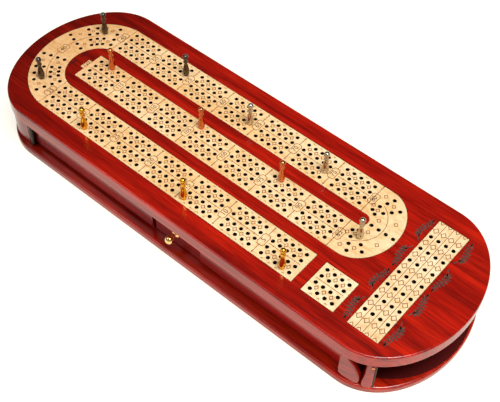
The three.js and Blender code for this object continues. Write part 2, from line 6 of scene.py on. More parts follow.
import bpy
from mathutils import Matrix, Vector, geometry


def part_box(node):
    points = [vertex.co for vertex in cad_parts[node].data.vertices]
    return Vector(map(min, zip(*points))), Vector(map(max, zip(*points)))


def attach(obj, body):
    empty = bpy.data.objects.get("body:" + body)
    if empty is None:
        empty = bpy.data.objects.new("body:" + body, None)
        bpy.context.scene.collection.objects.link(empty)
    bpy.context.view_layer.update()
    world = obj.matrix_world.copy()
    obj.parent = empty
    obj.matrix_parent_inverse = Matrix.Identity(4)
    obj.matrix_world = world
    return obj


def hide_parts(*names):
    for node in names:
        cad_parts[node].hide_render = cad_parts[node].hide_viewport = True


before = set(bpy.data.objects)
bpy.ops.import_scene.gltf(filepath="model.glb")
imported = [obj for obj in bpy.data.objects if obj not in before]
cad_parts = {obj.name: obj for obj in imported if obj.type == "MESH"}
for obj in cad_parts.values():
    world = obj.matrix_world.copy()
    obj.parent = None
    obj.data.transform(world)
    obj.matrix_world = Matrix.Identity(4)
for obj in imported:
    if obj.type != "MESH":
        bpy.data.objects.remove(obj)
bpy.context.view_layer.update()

MM = 0.001


def node_box(name):
    """The lowest and highest corner of a CAD node, in millimetres."""
    low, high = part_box(name)
    return low / MM, high / MM


# ---- sizes, taken from the frame where it has them ----
TOP_LOW, TOP_HIGH = node_box("top_board")
HALF_LENGTH = TOP_HIGH.x
HALF_WIDTH = TOP_HIGH.y
HEIGHT = TOP_HIGH.z
CEILING = TOP_LOW.z
FLOOR = node_box("base_board")[1].z
END_DEPTH = 48.5
END_CENTRE = HALF_LENGTH - END_DEPTH
POCKET_FLOOR = node_box("front_track_inlay")[0].z - 0.1
INLAY_SEAM = 0.28

HOLE_PITCH = 5.75
LANE_PITCH = 6.0
GROUP_GAP = 4.58
FIRST_HOLE_X = 86.4
HOLE_RADIUS = 1.42
HOLE_DEPTH = 4.7
STRIP_HALF = 13.65
TRACK_Y = 36.85
MIDDLE_Y = -0.55
LEFT_SEAM = -140.6
RIGHT_SEAM = 91.0
OUTER_EDGE = TRACK_Y + STRIP_HALF
INNER_EDGE = TRACK_Y - STRIP_HALF
BEND_Y = (OUTER_EDGE + MIDDLE_Y - STRIP_HALF) / 2
TONGUE_HALF = (INNER_EDGE - MIDDLE_Y - STRIP_HALF) / 2
GAMES_X, GAMES_Y = 103.3, -37.4
GAMES_HALF = 12.8
SCORING_X = 137.9
SCORING_HALF = 11.65
SCORING_LENGTH = 101.6


# ---- mesh helpers ----
def new_object(name, verts, faces, materials, indices=None, smooth_angle=35.0):
    """A mesh object from millimetre points, shaded smooth below the given angle."""
    mesh = bpy.data.meshes.new(name)
    mesh.from_pydata([Vector(v) * MM for v in verts], [], faces)
    for surface in materials:
        mesh.materials.append(surface)
    if indices:
        mesh.polygons.foreach_set("material_index", indices)
    mesh.polygons.foreach_set("use_smooth", [True] * len(mesh.polygons))
    mesh.set_sharp_from_angle(angle=math.radians(smooth_angle))
    mesh.update()
    piece = bpy.data.objects.new(name, mesh)
    bpy.context.scene.collection.objects.link(piece)
    return piece


def arc(cx, cy, a, b, start, end, count):
    """Points on an ellipse between two angles in degrees, both ends included."""
    points = []
    for step in range(count + 1):
        angle = math.radians(start + (end - start) * step / count)
        points.append((cx + a * math.cos(angle), cy + b * math.sin(angle)))
    return points


def circle(cx, cy, radius, count=16):
    return arc(cx, cy, radius, radius, 0, 360 * (count - 1) / count, count - 1)


def bend(start, control, end, steps=8):
    """Points on a quadratic curve after its start."""
    points = []
    for step in range(1, steps + 1):
        t = step / steps
        a, b, c = (1 - t) ** 2, 2 * t * (1 - t), t * t
        x = a * start[0] + b * control[0] + c * end[0]
        y = a * start[1] + b * control[1] + c * end[1]
        points.append((x, y))
    return points


def grown(loop, distance):
    """The loop moved outwards by distance, with mitred corners; it runs anticlockwise."""
    result = []
    count = len(loop)
    for index in range(count):
        before = Vector(loop[index - 1])
        here = Vector(loop[index])
        after = Vector(loop[(index + 1) % count])
        first = (here - before).normalized()
        second = (after - here).normalized()
        normal_a = Vector((first.y, -first.x))
        normal_b = Vector((second.y, -second.x))
        middle = normal_a + normal_b
        scale = 2 / max(middle.length_squared, 0.5)
        result.append(tuple(here + middle * scale * distance))
    return result


def inside(point, loop):
    x, y = point
    hit = False
    for (x0, y0), (x1, y1) in zip(loop, loop[1:] + loop[:1]):
        if (y0 > y) != (y1 > y) and x < (x1 - x0) * (y - y0) / (y1 - y0) + x0:
            hit = not hit
    return hit


def fill(outline, holes):
    """Triangles between an outline and the holes in it, as indices into all their points."""
    points = [Vector(p) for p in outline]
    loops = [(0, len(outline))]
    for hole in holes:
        loops.append((len(points), len(points) + len(hole)))
        points.extend(Vector(p) for p in hole)
    edges = []
    owner = {}
    for number, (start, end) in enumerate(loops):
        for index in range(start, end):
            edges.append((index, index + 1 if index + 1 < end else start))
            owner[index] = number
    result = geometry.delaunay_2d_cdt(points, edges, [], 1, 1e-5, True)
    made, triangles, sources = result[0], result[2], result[3]
    back = [source[0] for source in sources]
    kept = []
    for triangle in triangles:
        corners = [back[index] for index in triangle]
        centre = sum((points[index] for index in corners), Vector((0, 0))) / 3
        hidden = [number for number in {owner[index] for index in corners} - {0}
                  if inside(centre, holes[number - 1])]
        if not hidden and inside(centre, outline):
            kept.append(corners)
    return kept


# The side of a leaf: how far along it, and its half width there, as parts of the leaf's own.
LEAF_SIDE = [(0.18, 0.62), (0.42, 1.0), (0.7, 0.72)]


class Solid:
    """Collects points and faces of one piece, in millimetres."""

    def __init__(self):
        self.verts = []
        self.faces = []
        self.indices = []

    def ring(self, loop, z):
        start = len(self.verts)
        self.verts.extend((x, y, z) for x, y in loop)
        return list(range(start, start + len(loop)))

    def band(self, low, high, index=0):
        """Side faces between two rings with the same number of points, low ring first."""
        count = len(low)
        for step in range(count):
            after = (step + 1) % count
            self.faces.append((low[step], low[after], high[after], high[step]))
            self.indices.append(index)

    def cap(self, rings, triangles, upward, index=0):
        flat = [vertex for ring in rings for vertex in ring]
        for a, b, c in triangles:
            p, q, r = (Vector(self.verts[flat[i]]) for i in (a, b, c))
            faces_up = (q - p).cross(r - p).z > 0
            corners = (flat[a], flat[b], flat[c])
            self.faces.append(corners if faces_up == upward else corners[::-1])
            self.indices.append(index)

    def slab(self, loop, triangles, low, high):
        """A closed flat shape between two heights."""
        under = self.ring(loop, low)
        over = self.ring(loop, high)
        self.band(under, over)
        self.cap([over], triangles, True)
        self.cap([under], triangles, False)

    def stroke(self, points, width, low, high, closed=False):
        """A line of even width through the points, as one closed flat strip."""
        count = len(points)
        left = []
        right = []
        for index, here in enumerate(points):
            before = Vector(points[index - 1]) if closed or index else None
            after = Vector(points[(index + 1) % count]) if closed or index < count - 1 else None
            here = Vector(here)
            first = (here - before).normalized() if before else (after - here).normalized()
            second = (after - here).normalized() if after else first
            normal = Vector((-first.y - second.y, first.x + second.x))
            side = normal * width / max(normal.length_squared, 0.8)
            left.append(tuple(here + side))
            right.append(tuple(here - side))
        if closed:
            outer, inner = (left, right) if loop_area(left) > loop_area(right) else (right, left)
            low_outer, high_outer = self.ring(outer, low), self.ring(outer, high)
            low_inner, high_inner = self.ring(inner, low), self.ring(inner, high)
            self.band(low_outer, high_outer)
            self.band(high_inner, low_inner)
            self.band(high_outer, high_inner)
            self.band(low_inner, low_outer)
            return
        quads = []
        for index in range(count - 1):
            across = 2 * count - 1 - index
            quads += [(index, index + 1, across - 1), (index, across - 1, across)]
        self.slab(right + left[::-1], quads, low, high)

    def leaf(self, x, y, degrees, length, width, low, high):
        """A pointed leaf that grows from (x, y) in the given direction."""
        shape = [(0.0, 0.0)] + [(t, -w) for t, w in LEAF_SIDE]
        shape += [(1.0, 0.0)] + [(t, w) for t, w in LEAF_SIDE[::-1]]
        angle = math.radians(degrees)
        cos, sin = math.cos(angle), math.sin(angle)
        loop = []
        for along, across in shape:
            u, v = along * length, across * width / 2
            loop.append((x + u * cos - v * sin, y + u * sin + v * cos))
        self.slab(loop, [(0, i, i + 1) for i in range(1, len(loop) - 1)], low, high)

    def make(self, name, materials, smooth_angle=35.0):
        return new_object(name, self.verts, self.faces, materials, self.indices, smooth_angle)


def loop_area(loop):
    """The size of the area inside a loop."""
    corners = zip(loop, loop[1:] + loop[:1])
    return abs(sum(x0 * y1 - x1 * y0 for (x0, y0), (x1, y1) in corners)) / 2


def plate(name, outline, top, bottom, materials, edge=0.6, holes=(), pocket_floor=None,
          edge_steps=3, hole_edge=0.12, bottom_edge=None, smooth_angle=35.0):
    """A flat board with rounded top and bottom edges. Each hole is blind down to pocket_floor, and
    its walls and floor take the last material."""
    solid = Solid()
    bottom_edge = edge if bottom_edge is None else bottom_edge
    lower = []
    for step in range(edge_steps + 1):
        turn = math.pi / 2 * step / edge_steps
        inset = bottom_edge * (1 - math.sin(turn))
        lower.append(solid.ring(grown(outline, -inset), bottom + bottom_edge * (1 - math.cos(turn))))
    upper = []
    for step in range(edge_steps + 1):
        turn = math.pi / 2 * step / edge_steps
        inset = edge * (1 - math.cos(turn))
        upper.append(solid.ring(grown(outline, -inset), top - edge * (1 - math.sin(turn))))
    rings = lower + upper
    for low, high in zip(rings, rings[1:]):
        solid.band(low, high)
    mouths = []
    mouth_loops = []
    for hole in holes:
        wide = grown(hole, hole_edge)
        mouth = solid.ring(wide, top)
        neck = solid.ring(hole, top - hole_edge)
        foot = solid.ring(hole, pocket_floor)
        solid.band(foot[::-1], neck[::-1], len(materials) - 1)
        solid.band(neck[::-1], mouth[::-1], 0)
        solid.cap([foot], fill(hole, []), True, len(materials) - 1)
        mouths.append(mouth)
        mouth_loops.append(wide)
    top_loop = grown(outline, -edge)
    solid.cap([upper[-1]] + mouths, fill(top_loop, mouth_loops), True)
    bottom_loop = grown(outline, -bottom_edge)
    solid.cap([lower[0]], fill(bottom_loop, []), False)
    piece = solid.make(name, materials, smooth_angle)
    keep_flat(piece, [lower[0], lower[-1], upper[0], upper[-1]])
    return piece


def keep_flat(piece, rings):
    """Creases the rings where a flat face meets a rounded edge, so that the face is shaded flat."""
    ring_of = {vertex: number for number, ring in enumerate(rings) for vertex in ring}
    for edge in piece.data.edges:
        first, second = (ring_of.get(vertex) for vertex in edge.vertices)
        if first is not None and first == second:
            edge.use_edge_sharp = True


def lathe(name, profile, materials, sides=32, indices=None, smooth_angle=50.0):
    """A turned piece about Z from (radius, height) points that start and end on the axis."""
    verts = []
    faces = []
    face_indices = []
    rings = []
    for radius, height in profile:
        if radius < 1e-6:
            rings.append([len(verts)])
            verts.append((0.0, 0.0, height))
            continue
        rings.append(list(range(len(verts), len(verts) + sides)))
        for side in range(sides):
            angle = 2 * math.pi * side / sides
            verts.append((radius * math.cos(angle), radius * math.sin(angle), height))
    for number, (low, high) in enumerate(zip(rings, rings[1:])):
        index = indices[number] if indices else 0
        for side in range(sides):
            after = (side + 1) % sides
            if len(low) == 1:
                faces.append((low[0], high[after], high[side]))
            elif len(high) == 1:
                faces.append((low[side], low[after], high[0]))
            else:
                faces.append((low[side], low[after], high[after], high[side]))
            face_indices.append(index)
    return new_object(name, verts, faces, materials, face_indices, smooth_angle)


def rounded_profile(points, radius, steps=3):
    """The polyline with each inner corner rounded by an arc-like curve."""
    result = [points[0]]
    for before, here, after in zip(points, points[1:], points[2:]):
        a, b, c = Vector(before), Vector(here), Vector(after)
        reach = min(radius, (b - a).length * 0.45, (c - b).length * 0.45)
        start = b + (a - b).normalized() * reach
        end = b + (c - b).normalized() * reach
        for step in range(steps + 1):
            t = step / steps
            result.append(tuple(start * (1 - t) ** 2 + b * 2 * t * (1 - t) + end * t ** 2))
    result.append(points[-1])
    return result


def placed(piece, matrix):
    """Moves the mesh itself, so that the piece's object stays at the origin."""
    piece.data.transform(matrix)
    return piece


def shift(x, y, z):
    return Matrix.Translation(Vector((x, y, z)) * MM)


def turn(degrees, axis):
    return Matrix.Rotation(math.radians(degrees), 4, axis)


# ---- materials ----
def srgb(red, green, blue):
    """A colour from 0 to 255 display values, as linear RGBA."""
    def linear(value):
        value /= 255
        return value / 12.92 if value <= 0.04045 else ((value + 0.055) / 1.055) ** 2.4
    return (linear(red), linear(green), linear(blue), 1.0)


def grey(value):
    return (value, value, value, 1)


WHITE = grey(1)

class Nodes:
    """Short ways to build one material's node tree."""

    def __init__(self, name):
        self.material = bpy.data.materials.new(name)
        self.material.use_nodes = True
        self.tree = self.material.node_tree
        self.shader = self.tree.nodes["Principled BSDF"]

    def node(self, kind, **settings):
        made = self.tree.nodes.new(kind)
        for key, value in settings.items():
            setattr(made, key, value)
        return made

    def link(self, source, target):
        self.tree.links.new(source, target)

    def coords(self, scale):
        """Object coordinates, stretched by a scale along each axis."""
        source = self.node("ShaderNodeTexCoord").outputs["Object"]
        mapping = self.node("ShaderNodeMapping")
        mapping.inputs["Scale"].default_value = scale
        self.link(source, mapping.inputs["Vector"])
        return mapping.outputs["Vector"]

    def noise(self, vector, scale, detail=4, roughness=0.5, distortion=0.0):
        made = self.node("ShaderNodeTexNoise")
        made.inputs["Scale"].default_value = scale
        made.inputs["Detail"].default_value = detail
        made.inputs["Roughness"].default_value = roughness
        made.inputs["Distortion"].default_value = distortion
        self.link(vector, made.inputs["Vector"])
        return made.outputs["Fac"]

    def ramp(self, value, stops):
        made = self.node("ShaderNodeValToRGB")
        elements = made.color_ramp.elements
        elements[0].position, elements[0].color = stops[0]
        elements[1].position, elements[1].color = stops[-1]
        for position, colour in stops[1:-1]:
            elements.new(position).color = colour
        self.link(value, made.inputs["Fac"])
        return made.outputs["Color"]

    def mix(self, factor, first, second, blend="MIX"):
        made = self.node("ShaderNodeMix", data_type="RGBA", blend_type=blend)
        for socket, value in ((0, factor), (6, first), (7, second)):
            if isinstance(value, bpy.types.NodeSocket):
                self.link(value, made.inputs[socket])
            else:
                made.inputs[socket].default_value = value
        return made.outputs[2]

    def painted_light_along_board(self, colours):
        """Painted light: a slow change from darker at the left end of the board to brighter at the right,
        standing in for the fall-off of the key light.
        """
        split = self.node("ShaderNodeSeparateXYZ")
        self.link(self.node("ShaderNodeTexCoord").outputs["Object"], split.inputs[0])
        place = self.node("ShaderNodeMapRange")
        place.inputs["From Min"].default_value = -HALF_LENGTH * MM
        place.inputs["From Max"].default_value = HALF_LENGTH * MM
        self.link(split.outputs["X"], place.inputs["Value"])
        stops = list(zip(PAINTED_LIGHT_PLACES, colours))
        return self.ramp(place.outputs["Result"], stops)

    def bump(self, height, strength, distance):
        made = self.node("ShaderNodeBump")
        made.inputs["Strength"].default_value = strength
        made.inputs["Distance"].default_value = distance
        self.link(height, made.inputs["Height"])
        self.link(made.outputs["Normal"], self.shader.inputs["Normal"])

    def set(self, **values):
        for key, value in values.items():
            socket = self.shader.inputs[key.replace("_", " ")]
            if isinstance(value, bpy.types.NodeSocket):
                self.link(value, socket)
            else:
                socket.default_value = value


# Painted light on the two woods, as factors at the left end, near a fifth, at half and at the right end of
# the board: darker towards the left end, where less light falls.
PAINTED_LIGHT_PLACES = (0.0, 0.22, 0.5, 1.0)
RED_PAINTED_LIGHT = ((0.40, 0.46, 0.50, 1), (0.88, 0.90, 0.92, 1), (1, 1, 1, 1), (1.05, 1.05, 1.0, 1))
MAPLE_PAINTED_LIGHT = ((0.87, 0.60, 0.43, 1), (1.03, 0.86, 0.74, 1), (1.05, 0.92, 0.82, 1),
               (0.99, 0.95, 0.97, 1))


def red_wood(name, dark, middle, light, gloss=0.14):
    """Lacquered red hardwood with its grain along X."""
    n = Nodes(name)
    along = n.coords((7, 60, 60))
    broad = n.noise(along, 1.6, 3, 0.55, 0.6)
    fine = n.noise(n.coords((9, 330, 330)), 1.0, 5, 0.62, 0.2)
    pores = n.noise(n.coords((60, 800, 800)), 1.0, 2, 0.6)
    colour = n.ramp(broad, [(0.30, dark), (0.52, middle), (0.74, light)])
    streak = n.ramp(fine, [(0.30, grey(0.42)), (0.55, WHITE), (0.80, (1.25, 1.22, 1.2, 1))])
    colour = n.mix(0.8, colour, streak, "MULTIPLY")
    pore = n.ramp(pores, [(0.34, (0.45, 0.38, 0.36, 1)), (0.56, WHITE)])
    colour = n.mix(0.55, colour, pore, "MULTIPLY")
    # Painted light: the red wood is darker towards the left end of the board.
    colour = n.mix(1.0, colour, n.painted_light_along_board(RED_PAINTED_LIGHT), "MULTIPLY")
    n.set(Base_Color=colour)
    rough = n.ramp(fine, [(0.3, grey(gloss + 0.08)), (0.7, grey(gloss))])
    n.set(Roughness=rough, IOR=1.5)
    n.bump(fine, 0.03, 0.0003)
    return n.material


def maple(name, pale, honey):
    """Satin maple veneer: faint grain along X, small flecks and blotches, slow colour changes, and painted
    light that darkens it towards the left end of the board.
    """
    n = Nodes(name)
    cloud = n.noise(n.coords((14, 26, 26)), 1.0, 3, 0.6)
    fine = n.noise(n.coords((24, 520, 520)), 1.0, 4, 0.6, 0.15)
    colour = n.ramp(cloud, [(0.32, honey), (0.62, pale)])
    grain = n.ramp(fine, [(0.32, (0.86, 0.80, 0.72, 1)), (0.55, WHITE)])
    colour = n.mix(0.7, colour, grain, "MULTIPLY")
    flecks = n.noise(n.coords((240, 900, 900)), 1.0, 1, 0.5)
    fleck = n.ramp(flecks, [(0.24, (0.80, 0.68, 0.52, 1)), (0.32, WHITE)])
    colour = n.mix(0.6, colour, fleck, "MULTIPLY")
    # Painted light: the maple is darker towards the left end of the board.
    colour = n.mix(1.0, colour, n.painted_light_along_board(MAPLE_PAINTED_LIGHT), "MULTIPLY")
    blotches = n.noise(n.coords((260, 420, 420)), 1.0, 2, 0.6)
    blotch = n.ramp(blotches, [(0.34, (0.88, 0.74, 0.52, 1)), (0.50, (1, 0.99, 0.97, 1)),
                               (0.68, (1.06, 1.08, 1.04, 1))])
    colour = n.mix(0.75, colour, blotch, "MULTIPLY")
    n.set(Base_Color=colour, Roughness=0.5, IOR=1.45)
    n.bump(fine, 0.05, 0.0003)
    return n.material


def dark_surface(name, colour, roughness=0.9, variation=0.5):
    """A burnt surface, such as an engraved line, or a surface painted dark for shade, such as a drilled hole,
    the seam round an inlay or the floor of the card mouth.
    """
    n = Nodes(name)
    mottled = n.noise(n.coords((900, 900, 900)), 1.0, 2)
    deeper = tuple(channel * (1 - variation) for channel in colour[:3]) + (1,)
    n.set(Base_Color=n.ramp(mottled, [(0.35, deeper), (0.65, colour)]), Roughness=roughness)
    n.set(Specular_IOR_Level=0.2)
    return n.material


def metal(name, colour, dark, roughness=0.16, wear=0.35):
    """Polished or patinated metal with slight turning marks and tarnish."""
    n = Nodes(name)
    patch = n.noise(n.coords((420, 420, 420)), 1.0, 3, 0.6)
    fine = n.noise(n.coords((300, 300, 5200)), 1.0, 2)
    base = n.ramp(patch, [(0.30, dark), (0.60, colour)])
    n.set(Base_Color=n.mix(wear, colour, base), Metallic=1.0)
    n.set(Roughness=n.ramp(fine, [(0.3, grey(roughness * 0.75)), (0.7, grey(roughness * 1.4))]))
    n.bump(fine, 0.05, 0.0002)
    return n.material


def plain_wood(name, dark, light):
    """Bare wood with its grain along X."""
    n = Nodes(name)
    grain = n.noise(n.coords((40, 500, 500)), 1.0, 4, 0.6, 0.4)
    n.set(Base_Color=n.ramp(grain, [(0.35, dark), (0.65, light)]), Roughness=0.6)
    n.bump(grain, 0.1, 0.0003)
    return n.material


TOP_WOOD = red_wood("red_wood_top", srgb(146, 17, 7), srgb(177, 25, 10), srgb(200, 34, 12))
DOOR_WOOD = red_wood("red_wood_door", srgb(120, 10, 8), srgb(156, 16, 12), srgb(176, 24, 14), 0.2)
CHEEK_WOOD = red_wood("red_wood_cheek", srgb(128, 14, 8), srgb(160, 22, 12), srgb(186, 32, 14))
WALL_WOOD = red_wood("red_wood_wall", srgb(124, 9, 8), srgb(153, 15, 11), srgb(172, 21, 13))
BASE_WOOD = red_wood("red_wood_base", srgb(146, 21, 10), srgb(182, 34, 14), srgb(204, 48, 18))
MAPLE = maple("maple_inlay", srgb(250, 232, 190), srgb(240, 208, 152))
# Painted shade: the walls and floors of the peg holes are painted near black for the shade inside them.
HOLE_PAINTED_SHADE = dark_surface("drilled_hole_painted_shade", srgb(38, 18, 10))
BURNT_LINE = dark_surface("burnt_line", srgb(156, 92, 50), 0.7, 0.25)
BURNT_NUMBER = dark_surface("burnt_number", srgb(84, 44, 24), 0.7, 0.3)
ORNAMENT_INK = dark_surface("ornament_burn", srgb(104, 72, 62), 0.55, 0.55)
FAINT_INK = dark_surface("ornament_burn_faint", srgb(78, 22, 20), 0.5, 0.45)
# Painted shade: the walls and floors of the board's pockets are painted near black for the shadow in the seam
# round each inlay.
SEAM_PAINTED_SHADE = dark_surface("pocket_painted_shade", srgb(44, 5, 4))
# Painted shade: a dark red sheet on the floor of the card mouth, for the shade deep inside it.
MOUTH_PAINTED_SHADE = dark_surface("mouth_painted_shade", srgb(84, 12, 10), 0.95, 0.3)
BRASS = metal("turned_brass", srgb(244, 204, 136), srgb(190, 130, 64), 0.14)
BRONZE = metal("antique_bronze", srgb(70, 58, 50), srgb(30, 24, 22), 0.32, 0.7)
STEEL = metal("steel", srgb(170, 170, 175), srgb(110, 110, 112), 0.3)
LINING = plain_wood("drawer_lining", srgb(176, 128, 84), srgb(206, 160, 112))
PEG_METALS = {
    "gold": metal("peg_gold", srgb(238, 178, 52), srgb(150, 84, 14), 0.13),
    "gunmetal": metal("peg_gunmetal", srgb(104, 94, 82), srgb(44, 38, 32), 0.18, 0.5),
    "silver": metal("peg_silver", srgb(206, 196, 174), srgb(120, 106, 84), 0.15),
    "copper": metal("peg_copper", srgb(226, 132, 78), srgb(140, 56, 24), 0.15),
}


# ---- outlines ----
def board_outline(inset=0.0, count=72):
    half_width = HALF_WIDTH - inset
    depth = END_DEPTH - inset
    right = arc(END_CENTRE, 0, depth, half_width, -90, 90, count)
    left = arc(-END_CENTRE, 0, depth, half_width, 90, 270, count)
    return right + left


def box_loop(x0, x1, y0, y1):
    return [(x0, y0), (x1, y0), (x1, y1), (x0, y1)]


# The bend's two ellipses start on the straight strips, a little before the seam.
LEFT_OUTER = {"x": -136.6, "a": 44.2, "b": OUTER_EDGE}
LEFT_INNER = {"x": -134.0, "a": 21.2, "b": INNER_EDGE}
RIGHT_OUTER = {"x": 98.4, "a": 25.2, "b": OUTER_EDGE - BEND_Y}
TONGUE_X = 95.3
STRIP_END = 91.5
MIDDLE_END = -141.8
TAB_END = -145.2
TAB_HALF = 4.7


def left_arc(ellipse, fit, start, end, count):
    """Part of a left bend ellipse, with fit taken off the inlay on that side."""
    sign = -1 if ellipse is LEFT_OUTER else 1
    return arc(ellipse["x"], 0, ellipse["a"] + sign * fit, ellipse["b"] + sign * fit, start, end, count)


def seam_angle(ellipse, fit, seam):
    """How far past straight up the ellipse crosses the seam, in degrees."""
    sign = -1 if ellipse is LEFT_OUTER else 1
    return math.degrees(math.asin((ellipse["x"] - seam) / (ellipse["a"] + sign * fit)))


def left_bend_outline(fit):
    seam = LEFT_SEAM - fit
    outer_turn = seam_angle(LEFT_OUTER, fit, seam)
    inner_turn = seam_angle(LEFT_INNER, fit, seam)
    outer = left_arc(LEFT_OUTER, fit, 90 + outer_turn, 270 - outer_turn, 60)
    inner = left_arc(LEFT_INNER, fit, 270 - inner_turn, 90 + inner_turn, 40)
    return outer + inner


def right_bend_outline(fit):
    seam = RIGHT_SEAM + fit
    outer_b = RIGHT_OUTER["b"] - fit
    tongue = TONGUE_HALF + fit
    loop = [(seam, BEND_Y - outer_b)]
    loop += arc(RIGHT_OUTER["x"], BEND_Y, RIGHT_OUTER["a"] - fit, outer_b, -90, 90, 44)
    loop += [(seam, BEND_Y + outer_b), (seam, BEND_Y + tongue)]
    loop += arc(TONGUE_X, BEND_Y, tongue, tongue, 90, -90, 20)
    loop += [(seam, BEND_Y - tongue)]
    return loop


def outer_strip_outline(fit, side, end):
    """The front (side -1) or back (side 1) strip, with its left corners shared with the bend."""
    seam = LEFT_SEAM + fit
    outer_turn = seam_angle(LEFT_OUTER, fit, seam)
    inner_turn = seam_angle(LEFT_INNER, fit, seam)
    loop = left_arc(LEFT_INNER, fit, 90 + inner_turn, 90, 6)
    loop += [(end - fit, INNER_EDGE + fit), (end - fit, OUTER_EDGE - fit)]
    loop += left_arc(LEFT_OUTER, fit, 90, 90 + outer_turn, 6)
    if side > 0:
        return loop
    return [(x, -y) for x, y in loop[::-1]]


def course_outline():
    """One outline round all the pieces of the track, for the pocket that they lie in."""
    loop = [(STRIP_END, -OUTER_EDGE), (STRIP_END, -INNER_EDGE)]
    loop += left_arc(LEFT_INNER, 0, 270, 90, 48)
    loop += arc(TONGUE_X, BEND_Y, TONGUE_HALF, TONGUE_HALF, 90, -90, 20)
    loop += [(MIDDLE_END, MIDDLE_Y + STRIP_HALF), (MIDDLE_END, MIDDLE_Y + TAB_HALF)]
    loop += [(TAB_END, MIDDLE_Y + TAB_HALF), (TAB_END, MIDDLE_Y - TAB_HALF)]
    loop += [(MIDDLE_END, MIDDLE_Y - TAB_HALF), (MIDDLE_END, MIDDLE_Y - STRIP_HALF)]
    loop += arc(RIGHT_OUTER["x"], BEND_Y, RIGHT_OUTER["a"], RIGHT_OUTER["b"], -90, 90, 44)
    loop += left_arc(LEFT_OUTER, 0, 90, 270, 64)
    return loop


def inlay_outlines(fit):
    half = STRIP_HALF - fit
    games_x = GAMES_X + 1.5 * HOLE_PITCH
    scoring_x = SCORING_X + 1.5 * HOLE_PITCH
    return {
        "front_track_inlay": outer_strip_outline(fit, -1, STRIP_END),
        "left_bend_inlay": left_bend_outline(fit),
        "back_track_inlay": outer_strip_outline(fit, 1, RIGHT_SEAM),
        "right_bend_inlay": right_bend_outline(fit),
        "middle_track_inlay": box_loop(MIDDLE_END + fit, RIGHT_SEAM - fit,
                                       MIDDLE_Y - half, MIDDLE_Y + half),
        "finish_tab_inlay": box_loop(TAB_END + fit, MIDDLE_END - fit, MIDDLE_Y - TAB_HALF + fit,
                                     MIDDLE_Y + TAB_HALF - fit),
        "games_inlay": box_loop(games_x - GAMES_HALF + fit, games_x + GAMES_HALF - fit, GAMES_Y - half,
                                GAMES_Y + half),
        "scoring_inlay": box_loop(scoring_x - SCORING_HALF + fit, scoring_x + SCORING_HALF - fit,
                                  -SCORING_LENGTH / 2 + fit, SCORING_LENGTH / 2 - fit),
    }


# ---- peg holes ----
def column_x(column):
    return FIRST_HOLE_X - column * HOLE_PITCH - (column // 5) * GROUP_GAP


def lane_offset(lane):
    return (lane - 1.5) * LANE_PITCH


def strip_holes(middle):
    return [(column_x(c), middle + lane_offset(lane)) for c in range(35) for lane in range(4)]


# Where the rows of holes cross the two bends, in degrees, and the lanes that they cross.
LEFT_ANGLES = (112, 126.5, 135.5, 144.5, 163, 197, 215.5, 224.5, 233.5, 248)
RIGHT_ANGLES = (-66.3, -47, 0, 47, 66.3)
LEFT_LANES = {"x": -135.5, "outer": 41.5, "inner": 24.2}
RIGHT_LANES = {"x": 91.5, "inner": 12, "outer": 29.1}


def left_bend_point(angle, inward):
    """A point on the left bend; inward is 0 on the outer lane and 1 on the inner one."""
    a = LEFT_LANES["outer"] + (LEFT_LANES["inner"] - LEFT_LANES["outer"]) * inward
    b = TRACK_Y + (1.5 - 3 * inward) * LANE_PITCH
    turned = math.radians(angle)
    return (LEFT_LANES["x"] + a * math.cos(turned), b * math.sin(turned))


def right_bend_point(angle, outward):
    """A point on the right bend; outward is 0 on the inner lane and 1 on the outer one."""
    radius = RIGHT_LANES["inner"] + (RIGHT_LANES["outer"] - RIGHT_LANES["inner"]) * outward
    turned = math.radians(angle)
    return (RIGHT_LANES["x"] + radius * math.cos(turned), BEND_Y + radius * math.sin(turned))


def grid_holes(x, y, rows, pitch):
    """Four columns of holes from x, centred on y."""
    return [(x + c * HOLE_PITCH, y + (r - (rows - 1) / 2) * pitch)
            for c in range(4) for r in range(rows)]


HOLES = {
    "front_track_inlay": strip_holes(-TRACK_Y),
    "left_bend_inlay": [left_bend_point(a, lane / 3) for a in LEFT_ANGLES for lane in range(4)],
    "back_track_inlay": strip_holes(TRACK_Y),
    "right_bend_inlay": [right_bend_point(a, lane / 3) for a in RIGHT_ANGLES for lane in range(4)],
    "middle_track_inlay": strip_holes(MIDDLE_Y),
    "finish_tab_inlay": [],
    "games_inlay": grid_holes(GAMES_X, GAMES_Y, 4, LANE_PITCH),
    "scoring_inlay": grid_holes(SCORING_X, 0, 7, 2 * LANE_PITCH),
}


def settle(piece, body):
    """Attaches the piece to the body that it moves with."""
    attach(piece, body)


def make_boards():
    outlines = inlay_outlines(0.0)
    pockets = [course_outline(), outlines["games_inlay"], outlines["scoring_inlay"]]
    # The pockets' walls and floors take the painted shade of the seam.
    top = plate("top_board_fine", board_outline(), HEIGHT, CEILING, [TOP_WOOD, SEAM_PAINTED_SHADE], edge=1.1,
                bottom_edge=0.7, edge_steps=5, holes=pockets, pocket_floor=POCKET_FLOOR, hole_edge=0.1)
    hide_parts("top_board")
    settle(top, "board")
    base = plate("base_board_fine", board_outline(), FLOOR, 0, [BASE_WOOD], edge=1.5, bottom_edge=0.6,
                 edge_steps=5)
    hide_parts("base_board")
    settle(base, "board")


def make_inlays():
    for name, outline in inlay_outlines(INLAY_SEAM).items():
        holes = [circle(x, y, HOLE_RADIUS) for x, y in HOLES[name]]
        piece = plate(name + "_fine", outline, HEIGHT, POCKET_FLOOR + 0.05, [MAPLE, HOLE_PAINTED_SHADE], edge=0.12,
                      edge_steps=1, holes=holes, pocket_floor=HEIGHT - HOLE_DEPTH)
        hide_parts(name)
        settle(piece, "board")


